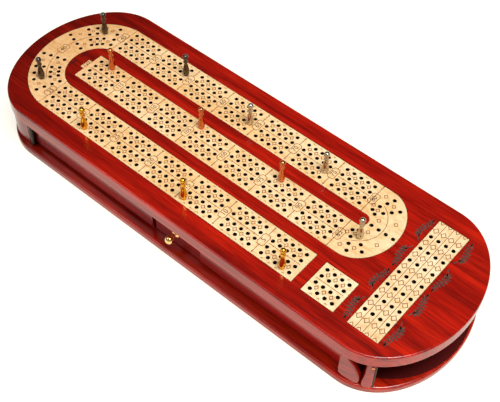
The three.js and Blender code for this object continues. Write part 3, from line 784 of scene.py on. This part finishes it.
# ---- the ends: the hinged door, the cheeks and pillars of the mouth, and a sheet of painted shade on its floor ----
DOOR_LOW, DOOR_HIGH = node_box("left_end_door")
DOOR_BEND = -149.2
DOOR_THICKNESS = 7.5
PILLAR = {"x": 162, "turn": 31, "inset": 0.4, "half": 2.8, "depth": 7, "top": CEILING - 0.1}
CHEEK = {"x": 148, "turn": 8, "inset": 1.7, "start": -6, "end": 8.8, "thickness": 3.5}
WALL_LOW = FLOOR + 0.1
MOUTH_FLOOR = {"corner": 157.0, "half": 52.3, "depth": 47.6, "width": 55.3}


def make_door():
    depth = DOOR_BEND - DOOR_LOW.x
    outer = arc(DOOR_BEND, 0, depth, DOOR_HIGH.y, 90, 270, 72)
    inner = arc(DOOR_BEND, 0, depth - DOOR_THICKNESS, DOOR_HIGH.y - DOOR_THICKNESS, 270, 90, 56)
    end = DOOR_HIGH.x
    loop = [(end, DOOR_HIGH.y)] + outer + [(end, -DOOR_HIGH.y), (end, inner[0][1])] + inner
    loop.append((end, inner[-1][1]))
    door = plate("left_end_door_fine", loop, DOOR_HIGH.z, DOOR_LOW.z, [DOOR_WOOD], edge=0.5)
    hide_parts("left_end_door")
    settle(door, "end_door")


def stand_on_rim(piece, shape, side):
    """Stands a plate, drawn as (along, up), on the rim facing out; side is -1 front, 1 back."""
    rim_y = HALF_WIDTH * math.sqrt(1 - ((shape["x"] - END_CENTRE) / END_DEPTH) ** 2)
    angle = math.radians(shape["turn"])
    inset = shape["inset"]
    place = shift(shape["x"] - inset * math.sin(angle), -rim_y + inset * math.cos(angle), 0)
    placed(piece, place @ turn(shape["turn"], "Z") @ turn(90, "X"))
    if side > 0:
        placed(piece, Matrix.Scale(-1, 4, Vector((0, 1, 0))))
        piece.data.flip_normals()
    return piece


def cheek_outline():
    """The cheek from outside, as (along, up): a rounded heel, a bowed edge and a narrow top."""
    start, end = CHEEK["start"], CHEEK["end"]
    top = CEILING - 0.1
    heel = (start, WALL_LOW + 4)
    loop = [heel] + bend(heel, (start + 2, WALL_LOW + 0.6), (start + 8, WALL_LOW))
    loop.append((end - 3.4, WALL_LOW))
    loop += bend(loop[-1], (end - 0.8, WALL_LOW + 0.3), (end - 0.1, WALL_LOW + 3))
    loop += bend(loop[-1], (end + 0.9, 14), (end - 1.6, 19))
    loop += bend(loop[-1], (4.6, 25.6), (0, 29.4))
    return loop + [(-0.4, top), (start, top)]


def pillar_outline():
    """The pillar from outside, as (along, up): straight on one side, flared to the foot on the other."""
    half = PILLAR["half"]
    loop = [(half, PILLAR["top"]), (-half, PILLAR["top"]), (-half, 21)]
    loop += bend(loop[-1], (-3.6, 15), (-4.2, 9))
    loop += bend(loop[-1], (-4.2, 5.2), (1.6, 0.05))
    return loop + [(half, 0.05)]


def make_mouth():
    for place, side in (("front", -1), ("back", 1)):
        cheek = plate(f"mouth_cheek_{place}_fine", cheek_outline(), 0, -CHEEK["thickness"], [CHEEK_WOOD],
                      edge=0.9, bottom_edge=0.3)
        pillar = plate(f"mouth_pillar_{place}_fine", pillar_outline(), 0, -PILLAR["depth"], [CHEEK_WOOD],
                       edge=0.7, bottom_edge=0.3)
        for piece, shape, node in ((cheek, CHEEK, "cheek"), (pillar, PILLAR, "pillar")):
            stand_on_rim(piece, shape, side)
            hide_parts(f"mouth_{node}_{place}")
            settle(piece, "board")
    start = node_box("bay_wall_right")[1].x + 0.2
    corner, half = MOUTH_FLOOR["corner"], MOUTH_FLOOR["half"]
    turn_from = math.degrees(math.asin(half / MOUTH_FLOOR["width"]))
    loop = [(start, -half), (corner, -half)]
    loop += arc(END_CENTRE, 0, MOUTH_FLOOR["depth"], MOUTH_FLOOR["width"], -turn_from, turn_from, 48)
    loop += [(corner, half), (start, half)]
    # A thin sheet of painted shade over the mouth's floor, where little light reaches.
    shade_sheet = plate("mouth_painted_shade_sheet", loop, FLOOR + 0.45, FLOOR + 0.02, [MOUTH_PAINTED_SHADE], edge=0.2, edge_steps=1)
    settle(shade_sheet, "board")


# ---- the front walls, the drawer front and its knob ----
GROOVE_RISE = 2.4
GROOVE_DEPTH = 1.6
# The knob's rosette and neck, as (radius, distance from the drawer's front), and the ball on them.
KNOB_FOOT = [(0, 0), (3.3, 0), (3.3, 1.5), (2.6, 2.1), (1.6, 2.7), (1.5, 4.4), (1.8, 4.7)]
BALL_CENTRE = 7.4
BALL_RADIUS = 3.2


def make_front_wall(node):
    """A wall with a shadow groove along its foot, drawn as (across, up) and run along X."""
    low, high = node_box(node)
    face, foot = low.y, low.z
    loop = [(face + GROOVE_DEPTH, foot), (high.y, foot), (high.y, high.z), (face, high.z),
            (face, foot + GROOVE_RISE + 0.5), (face + 0.2, foot + GROOVE_RISE),
            (face + GROOVE_DEPTH, foot + GROOVE_RISE - 0.4)]
    wall = plate(node + "_fine", loop, high.x, low.x, [WALL_WOOD], edge=0.3, smooth_angle=15.0)
    placed(wall, turn(90, "Z") @ turn(90, "X"))
    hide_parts(node)
    settle(wall, "board")


def make_drawer_front():
    low, high = node_box("drawer_front")
    face = box_loop(low.x, high.x, low.z, high.z)
    front = plate("drawer_front_fine", face, 0, low.y - high.y, [WALL_WOOD], edge=0.5, bottom_edge=0.2)
    placed(front, shift(0, low.y, 0) @ turn(90, "X"))
    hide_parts("drawer_front")
    settle(front, "drawer")
    low, high = node_box("drawer_knob")
    profile = rounded_profile(KNOB_FOOT, 0.4, 2)
    profile += arc(0, BALL_CENTRE, BALL_RADIUS, BALL_RADIUS, -50, 90, 16)
    knob = lathe("drawer_knob_fine", profile, [BRASS], 40)
    placed(knob, shift(0, high.y, (low.z + high.z) / 2) @ turn(90, "X"))
    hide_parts("drawer_knob")
    settle(knob, "drawer")


# ---- burnt decoration ----
INK_LOW = HEIGHT - 0.05
INK_HIGH = HEIGHT + 0.02
LINE = 0.5
GAPS = [column_x(c) - (HOLE_PITCH + GROUP_GAP) / 2 for c in (4, 9, 14, 19, 24, 29)]
# Where the numbers outside those gaps stand.
BEND_NUMBERS = {"35": (-142.5, -36.7), "45": (-142.9, 37.5), "80": (91.7, 37), "85": (91.7, -1),
                "40": (-167.9, -0.4)}
FINISH_NUMBER = (-143.3, -0.6)


class Ink(Solid):
    """Thin flat lines and shapes in the playing face."""

    def line(self, *points, width=LINE, closed=False):
        self.stroke(list(points), width, INK_LOW, INK_HIGH, closed)

    def diamond(self, x, y, half_x, half_y, width=LINE):
        corners = [(x + half_x, y), (x, y + half_y), (x - half_x, y), (x, y - half_y)]
        self.line(*corners, width=width, closed=True)

    def frame(self, x, y):
        """The shaped frame round a number."""
        corner = [(1.9, 4.8), (2.3, 3.7), (3.0, 3.3), (2.6, 1.6)]
        quarter = [(2.6, -1.6), (3.0, -3.3), (2.3, -3.7), (1.9, -4.8)]
        right = corner + quarter
        left = [(-u, -v) for u, v in right]
        self.line(*[(x + u, y + v) for u, v in right + left], width=LINE * 0.9, closed=True)


def decorate_strip(ink, middle):
    """The pattern between the holes of one straight strip."""
    edge = STRIP_HALF - 0.9
    for group in range(7):
        xs = [column_x(group * 5 + step) - HOLE_PITCH / 2 for step in range(4)]
        ink.line((xs[0] + 4.3, middle), (xs[3] - 4.3, middle), width=LINE * 0.8)
        for x in xs:
            ink.line((x, middle - 0.9), (x, middle + 0.9), width=LINE * 0.8)
            for side in (-1, 1):
                ink.diamond(x, middle + side * LANE_PITCH, 1.25, 1.7)
                tip = middle + side * (edge - 1.3)
                ink.line((x - 0.9, tip + side * 0.8), (x, tip), (x + 0.9, tip + side * 0.8), width=LINE * 0.8)
        for first, second in zip(xs, xs[1:]):
            for side in (-1, 1):
                row = middle + side * LANE_PITCH
                ink.line((first - 1.3, row), (second + 1.3, row), width=LINE * 0.6)
    for x in GAPS:
        ink.frame(x, middle)
        for side in (-1, 1):
            ink.line((x, middle + side * 4.9), (x, middle + side * edge))
            ink.line((x - 0.8, middle + side * 11.6), (x + 0.8, middle + side * 11.6), width=LINE * 0.8)


def decorate_bends(ink):
    """The middle lines, diamonds and number frames of the two bends."""
    middle_lane = [left_bend_point(angle, 0.5) for angle in range(126, 235, 4)]
    ink.line(*middle_lane, width=LINE * 0.8)
    for angle in (119, 131, 140, 154, 206, 220, 229, 241):
        for inward in (1 / 6, 5 / 6):
            x, y = left_bend_point(angle, inward)
            ink.diamond(x, y, 1.2, 1.2)
    for x, y in BEND_NUMBERS.values():
        ink.frame(x, y)
    arc_points = [right_bend_point(angle, 0.5) for angle in range(-64, 65, 8)]
    ink.line(*arc_points, width=LINE * 0.8)
    for angle in (-78, -57, -24, 24, 57, 78):
        for outward in (1 / 6, 5 / 6):
            x, y = right_bend_point(angle, outward)
            ink.diamond(x, y, 1.5, 1.5)


def decorate_grids(ink):
    """The patterns of the games inlay and of the scoring inlay."""
    for step in range(3):
        x = GAMES_X + (step + 0.5) * HOLE_PITCH
        for side in (-1, 1):
            ink.diamond(x, GAMES_Y + side * LANE_PITCH, 1.25, 1.7)
            tip = GAMES_Y + side * (STRIP_HALF - 2.2)
            ink.line((x - 0.9, tip + side * 0.8), (x, tip), (x + 0.9, tip + side * 0.8), width=LINE * 0.8)
    ink.line((GAMES_X - 2, GAMES_Y), (GAMES_X + 3 * HOLE_PITCH + 2, GAMES_Y), width=LINE * 0.8)
    half = SCORING_LENGTH / 2
    for step in range(3):
        x = SCORING_X + (step + 0.5) * HOLE_PITCH
        ink.line((x, -half + 0.1), (x, half - 0.1), width=LINE * 0.8)
    for column in range(4):
        x = SCORING_X + column * HOLE_PITCH
        for row in range(8):
            y = (row - 3.5) * 2 * LANE_PITCH
            ink.diamond(x, y, 1.9, 2.3)
            for side in (-1, 1):
                reach = 2.7 if 0 <= column + side <= 3 else 2.8
                ink.line((x + side * 1.9, y), (x + side * reach, y), width=LINE * 0.7)
        for side in (-1, 1):
            y = side * (half - 0.5)
            ink.line((x - 1.5, y), (x, y - side * 1.9), (x + 1.5, y), width=LINE)


def make_engraving():
    ink = Ink()
    for middle in (-TRACK_Y, TRACK_Y, MIDDLE_Y):
        decorate_strip(ink, middle)
    decorate_bends(ink)
    decorate_grids(ink)
    settle(ink.make("burnt_lines", [BURNT_LINE]), "board")


def number_points(text, x, y, size):
    """The mesh of a number that reads along +Y, as points in millimetres and faces."""
    curve = bpy.data.curves.new("number", "FONT")
    curve.body = text
    curve.size = size
    curve.align_x = "CENTER"
    curve.align_y = "CENTER"
    curve.extrude = (INK_HIGH - INK_LOW) / 2
    curve.resolution_u = 3
    holder = bpy.data.objects.new("number", curve)
    bpy.context.scene.collection.objects.link(holder)
    graph = bpy.context.evaluated_depsgraph_get()
    mesh = bpy.data.meshes.new_from_object(holder.evaluated_get(graph))
    mesh.transform(Matrix.Translation((x, y, (INK_LOW + INK_HIGH) / 2)) @ turn(90, "Z"))
    points = [tuple(vertex.co) for vertex in mesh.vertices]
    faces = [tuple(polygon.vertices) for polygon in mesh.polygons]
    bpy.data.objects.remove(holder)
    bpy.data.curves.remove(curve)
    bpy.data.meshes.remove(mesh)
    return points, faces


def make_numbers():
    labels = [(str(5 * (i + 1)), GAPS[i], -TRACK_Y) for i in range(6)]
    labels += [(text, *BEND_NUMBERS[text]) for text in ("35", "40", "45")]
    labels += [(str(50 + 5 * i), GAPS[5 - i], TRACK_Y) for i in range(6)]
    labels += [(text, *BEND_NUMBERS[text]) for text in ("80", "85")]
    labels += [(str(90 + 5 * i), GAPS[i], MIDDLE_Y) for i in range(6)]
    labels.append(("120", *FINISH_NUMBER))
    numbers = Solid()
    for text, x, y in labels:
        size = 5.0 if len(text) < 3 else 4.3
        points, faces = number_points(text, x, y, size)
        start = len(numbers.verts)
        numbers.verts.extend(points)
        numbers.faces.extend(tuple(start + index for index in face) for face in faces)
        numbers.indices.extend([0] * len(faces))
    settle(numbers.make("burnt_numbers", [BURNT_NUMBER]), "board")


# A spray of leaves: where each grows from the stem, its direction, length and width.
SPRAY = [
    (1.9, 21.4, 95, 3.2, 1.5), (1.6, 20.6, 150, 2.4, 1.2), (2.1, 20.6, 35, 2.2, 1.2),
    (2.0, 18.6, 155, 2.8, 1.3), (2.2, 18.2, 25, 2.2, 1.2), (1.6, 16.6, 150, 3.0, 1.5),
    (1.7, 16.0, 15, 2.2, 1.2), (0.8, 14.6, 160, 3.4, 1.6), (0.8, 14.0, 0, 2.4, 1.3),
    (0.2, 12.6, 175, 3.2, 1.6), (0.2, 12.0, 345, 2.6, 1.4), (0.0, 11.0, 205, 3.4, 1.7),
    (0.2, 10.2, 320, 3.0, 1.5), (0.0, 9.6, 235, 3.8, 1.8), (0.2, 8.8, 262, 4.2, 1.7),
    (0.6, 8.2, 300, 2.8, 1.3),
]
SPRAY_STEM = [(1.9, 24.0), (2.1, 20.5), (1.8, 17.4), (0.7, 14.4), (0.1, 11.4), (0.5, 8.6),
              (1.8, 5.6), (3.1, 2.8)]
SPRAY_OFFSET = 16.7
SPRAY_CENTRES = (25.1, -25.8)
TAB_SPRAY_X = -151.5
TAB_SPRAY_SCALE = 0.42


def add_spray(ink, x, y, flip_x, flip_y, scale=1.0):
    """One leafy spray whose stem starts near (x, y)."""
    def put(u, v):
        return (x + flip_x * u * scale, y + flip_y * v * scale)
    ink.line(*[put(u, v) for u, v in SPRAY_STEM], width=0.8 * scale)
    for u, v, degrees, length, width in SPRAY:
        angle = math.radians(degrees)
        direction = math.degrees(math.atan2(flip_y * math.sin(angle), flip_x * math.cos(angle)))
        px, py = put(u, v)
        ink.leaf(px, py, direction, length * scale, width * scale, INK_LOW, INK_HIGH)


def make_ornaments():
    ink = Ink()
    scoring_middle = SCORING_X + 1.5 * HOLE_PITCH + 0.2
    for flip_x in (-1, 1):
        for centre in SPRAY_CENTRES:
            for flip_y in (-1, 1):
                add_spray(ink, scoring_middle + flip_x * SPRAY_OFFSET, centre, -flip_x, flip_y)
    settle(ink.make("leaf_sprays", [ORNAMENT_INK]), "board")
    faint = Ink()
    for flip_y in (-1, 1):
        add_spray(faint, TAB_SPRAY_X, 0.0, -1, flip_y, TAB_SPRAY_SCALE)
    settle(faint.make("tab_sprays", [FAINT_INK]), "board")


# ---- pegs ----
# A peg as (radius, height over the playing face): its shank, foot, body, neck, ring and ball.
PEG_PROFILE = rounded_profile([
    (0, -4.6), (1.1, -4.6), (1.15, -0.2), (1.15, 0.1),
    (1.9, 0.15), (2.05, 0.8), (1.75, 1.4), (2.1, 1.8),
    (2.5, 3.0), (2.5, 4.8), (2.0, 7.6), (1.3, 10.6), (1.1, 12.2),
    (1.75, 12.9), (1.85, 13.9), (1.4, 14.7), (1.2, 15.4), (1.4, 16.2),
], 0.5, 2) + arc(0, 18.0, 2.15, 2.15, -45, 90, 12)


def make_pegs():
    for name in sorted(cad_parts):
        if not name.startswith("peg_"):
            continue
        low, high = node_box(name)
        colour = name.split("_")[1]
        peg = lathe(name + "_fine", PEG_PROFILE, [PEG_METALS[colour]], 32)
        placed(peg, shift((low.x + high.x) / 2, (low.y + high.y) / 2, HEIGHT))
        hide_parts(name)
        settle(peg, name)


def use(material, *names):
    """Gives carried-over CAD nodes their material."""
    for name in names:
        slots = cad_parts[name].data.materials
        slots.clear()
        slots.append(material)


def dress_cad_nodes():
    use(WALL_WOOD, "back_wall", "bay_wall_left", "bay_wall_right")
    use(LINING, "drawer_bottom", "drawer_side_left", "drawer_side_right", "drawer_back")
    use(BRONZE, "hinge_leaf_wall", "hinge_leaf_door", "hinge_pin", "wall_leaf_screw_1",
        "wall_leaf_screw_2", "door_leaf_screw_1", "door_leaf_screw_2", "mouth_plate_front",
        "mouth_plate_back")
    use(STEEL, "catch_magnet", "door_striker", "knob_screw")
    use(PEG_METALS["copper"], "pillar_pin_front", "pillar_pin_back")


# ---- camera, light and floor ----
CAMERA_PLACE = (280.057, -326.090, 547.231)
CAMERA_FORWARD = (-0.38861688, 0.47993315, -0.7865374)
CAMERA_RIGHT = (0.76095905, 0.64849997, 0.01972582)
LENS = 69.8
SENSOR = 36
FLOOR_REACH = 6000
FLOOR_LEVEL = -0.1
# Light of the surroundings: direction, where it starts and ends, and its strength at both.
ZENITH_GLOW = ((0, 0, 1), 0.90, 0.99, 0.03, 2.0)
FRONT_GLOW = ((0.63, -0.777, 0), 0.05, 0.5, 0.0, 0.3)


def make_camera():
    data = bpy.data.cameras.new("camera")
    data.sensor_width = SENSOR
    data.lens = LENS
    camera = bpy.data.objects.new("camera", data)
    bpy.context.scene.collection.objects.link(camera)
    forward = Vector(CAMERA_FORWARD).normalized()
    right = Vector(CAMERA_RIGHT).normalized()
    up = right.cross(forward)
    basis = Matrix((right, up, -forward)).transposed().to_4x4()
    camera.matrix_world = shift(*CAMERA_PLACE) @ basis
    bpy.context.scene.camera = camera


def area_light(name, place, target, size, power):
    data = bpy.data.lights.new(name, "AREA")
    data.shape = "RECTANGLE"
    data.size, data.size_y = size
    data.energy = power
    lamp = bpy.data.objects.new(name, data)
    lamp.location = place
    lamp.rotation_euler = (Vector(target) - Vector(place)).to_track_quat("-Z", "Y").to_euler()
    bpy.context.scene.collection.objects.link(lamp)


def make_studio():
    """A pale floor, light from above and from the front, and two soft lamps."""
    n = Nodes("studio_floor")
    soft = n.noise(n.coords((2, 2, 2)), 1.0, 1)
    pale = n.ramp(soft, [(0.2, (0.49, 0.46, 0.34, 1)), (0.8, (0.51, 0.48, 0.36, 1))])
    n.set(Base_Color=pale, Roughness=0.9)
    n.set(Emission_Color=(1, 0.98, 0.93, 1), Emission_Strength=0.74)
    square = box_loop(-FLOOR_REACH, FLOOR_REACH, -FLOOR_REACH, FLOOR_REACH)
    corners = [(x, y, FLOOR_LEVEL) for x, y in square]
    floor = new_object("studio_floor", corners, [(0, 1, 2, 3)], [n.material])
    world = bpy.data.worlds.new("studio")
    world.use_nodes = True
    tree = world.node_tree
    place = tree.nodes.new("ShaderNodeTexCoord")

    def glow(direction, start, end, dark, bright):
        """Strength that rises from dark to bright towards the direction."""
        facing = tree.nodes.new("ShaderNodeVectorMath")
        facing.operation = "DOT_PRODUCT"
        facing.inputs[1].default_value = direction
        rise = tree.nodes.new("ShaderNodeMapRange")
        rise.interpolation_type = "SMOOTHSTEP"
        limits = {"From Min": start, "From Max": end, "To Min": dark, "To Max": bright}
        for key, value in limits.items():
            rise.inputs[key].default_value = value
        tree.links.new(place.outputs["Generated"], facing.inputs[0])
        tree.links.new(facing.outputs["Value"], rise.inputs["Value"])
        return rise.outputs["Result"]

    total = tree.nodes.new("ShaderNodeMath")
    total.operation = "ADD"
    tree.links.new(glow(*ZENITH_GLOW), total.inputs[0])
    tree.links.new(glow(*FRONT_GLOW), total.inputs[1])
    tree.links.new(total.outputs["Value"], tree.nodes["Background"].inputs["Strength"])
    tree.nodes["Background"].inputs["Color"].default_value = (1, 1, 1, 1)
    bpy.context.scene.world = world
    area_light("key", (0.5, -0.1, 1.3), (0.05, 0, 0), (0.5, 0.5), 14.5)
    area_light("fill", (-0.9, -0.9, 1.2), (0, 0, 0), (0.8, 0.8), 6)
    bpy.context.scene.view_settings.view_transform = "Standard"


make_camera()
make_studio()
make_boards()
make_inlays()
make_engraving()
make_numbers()
make_ornaments()
make_door()
make_mouth()
make_front_wall("front_wall_left")
make_front_wall("front_wall_right")
make_drawer_front()
make_pegs()
dress_cad_nodes()
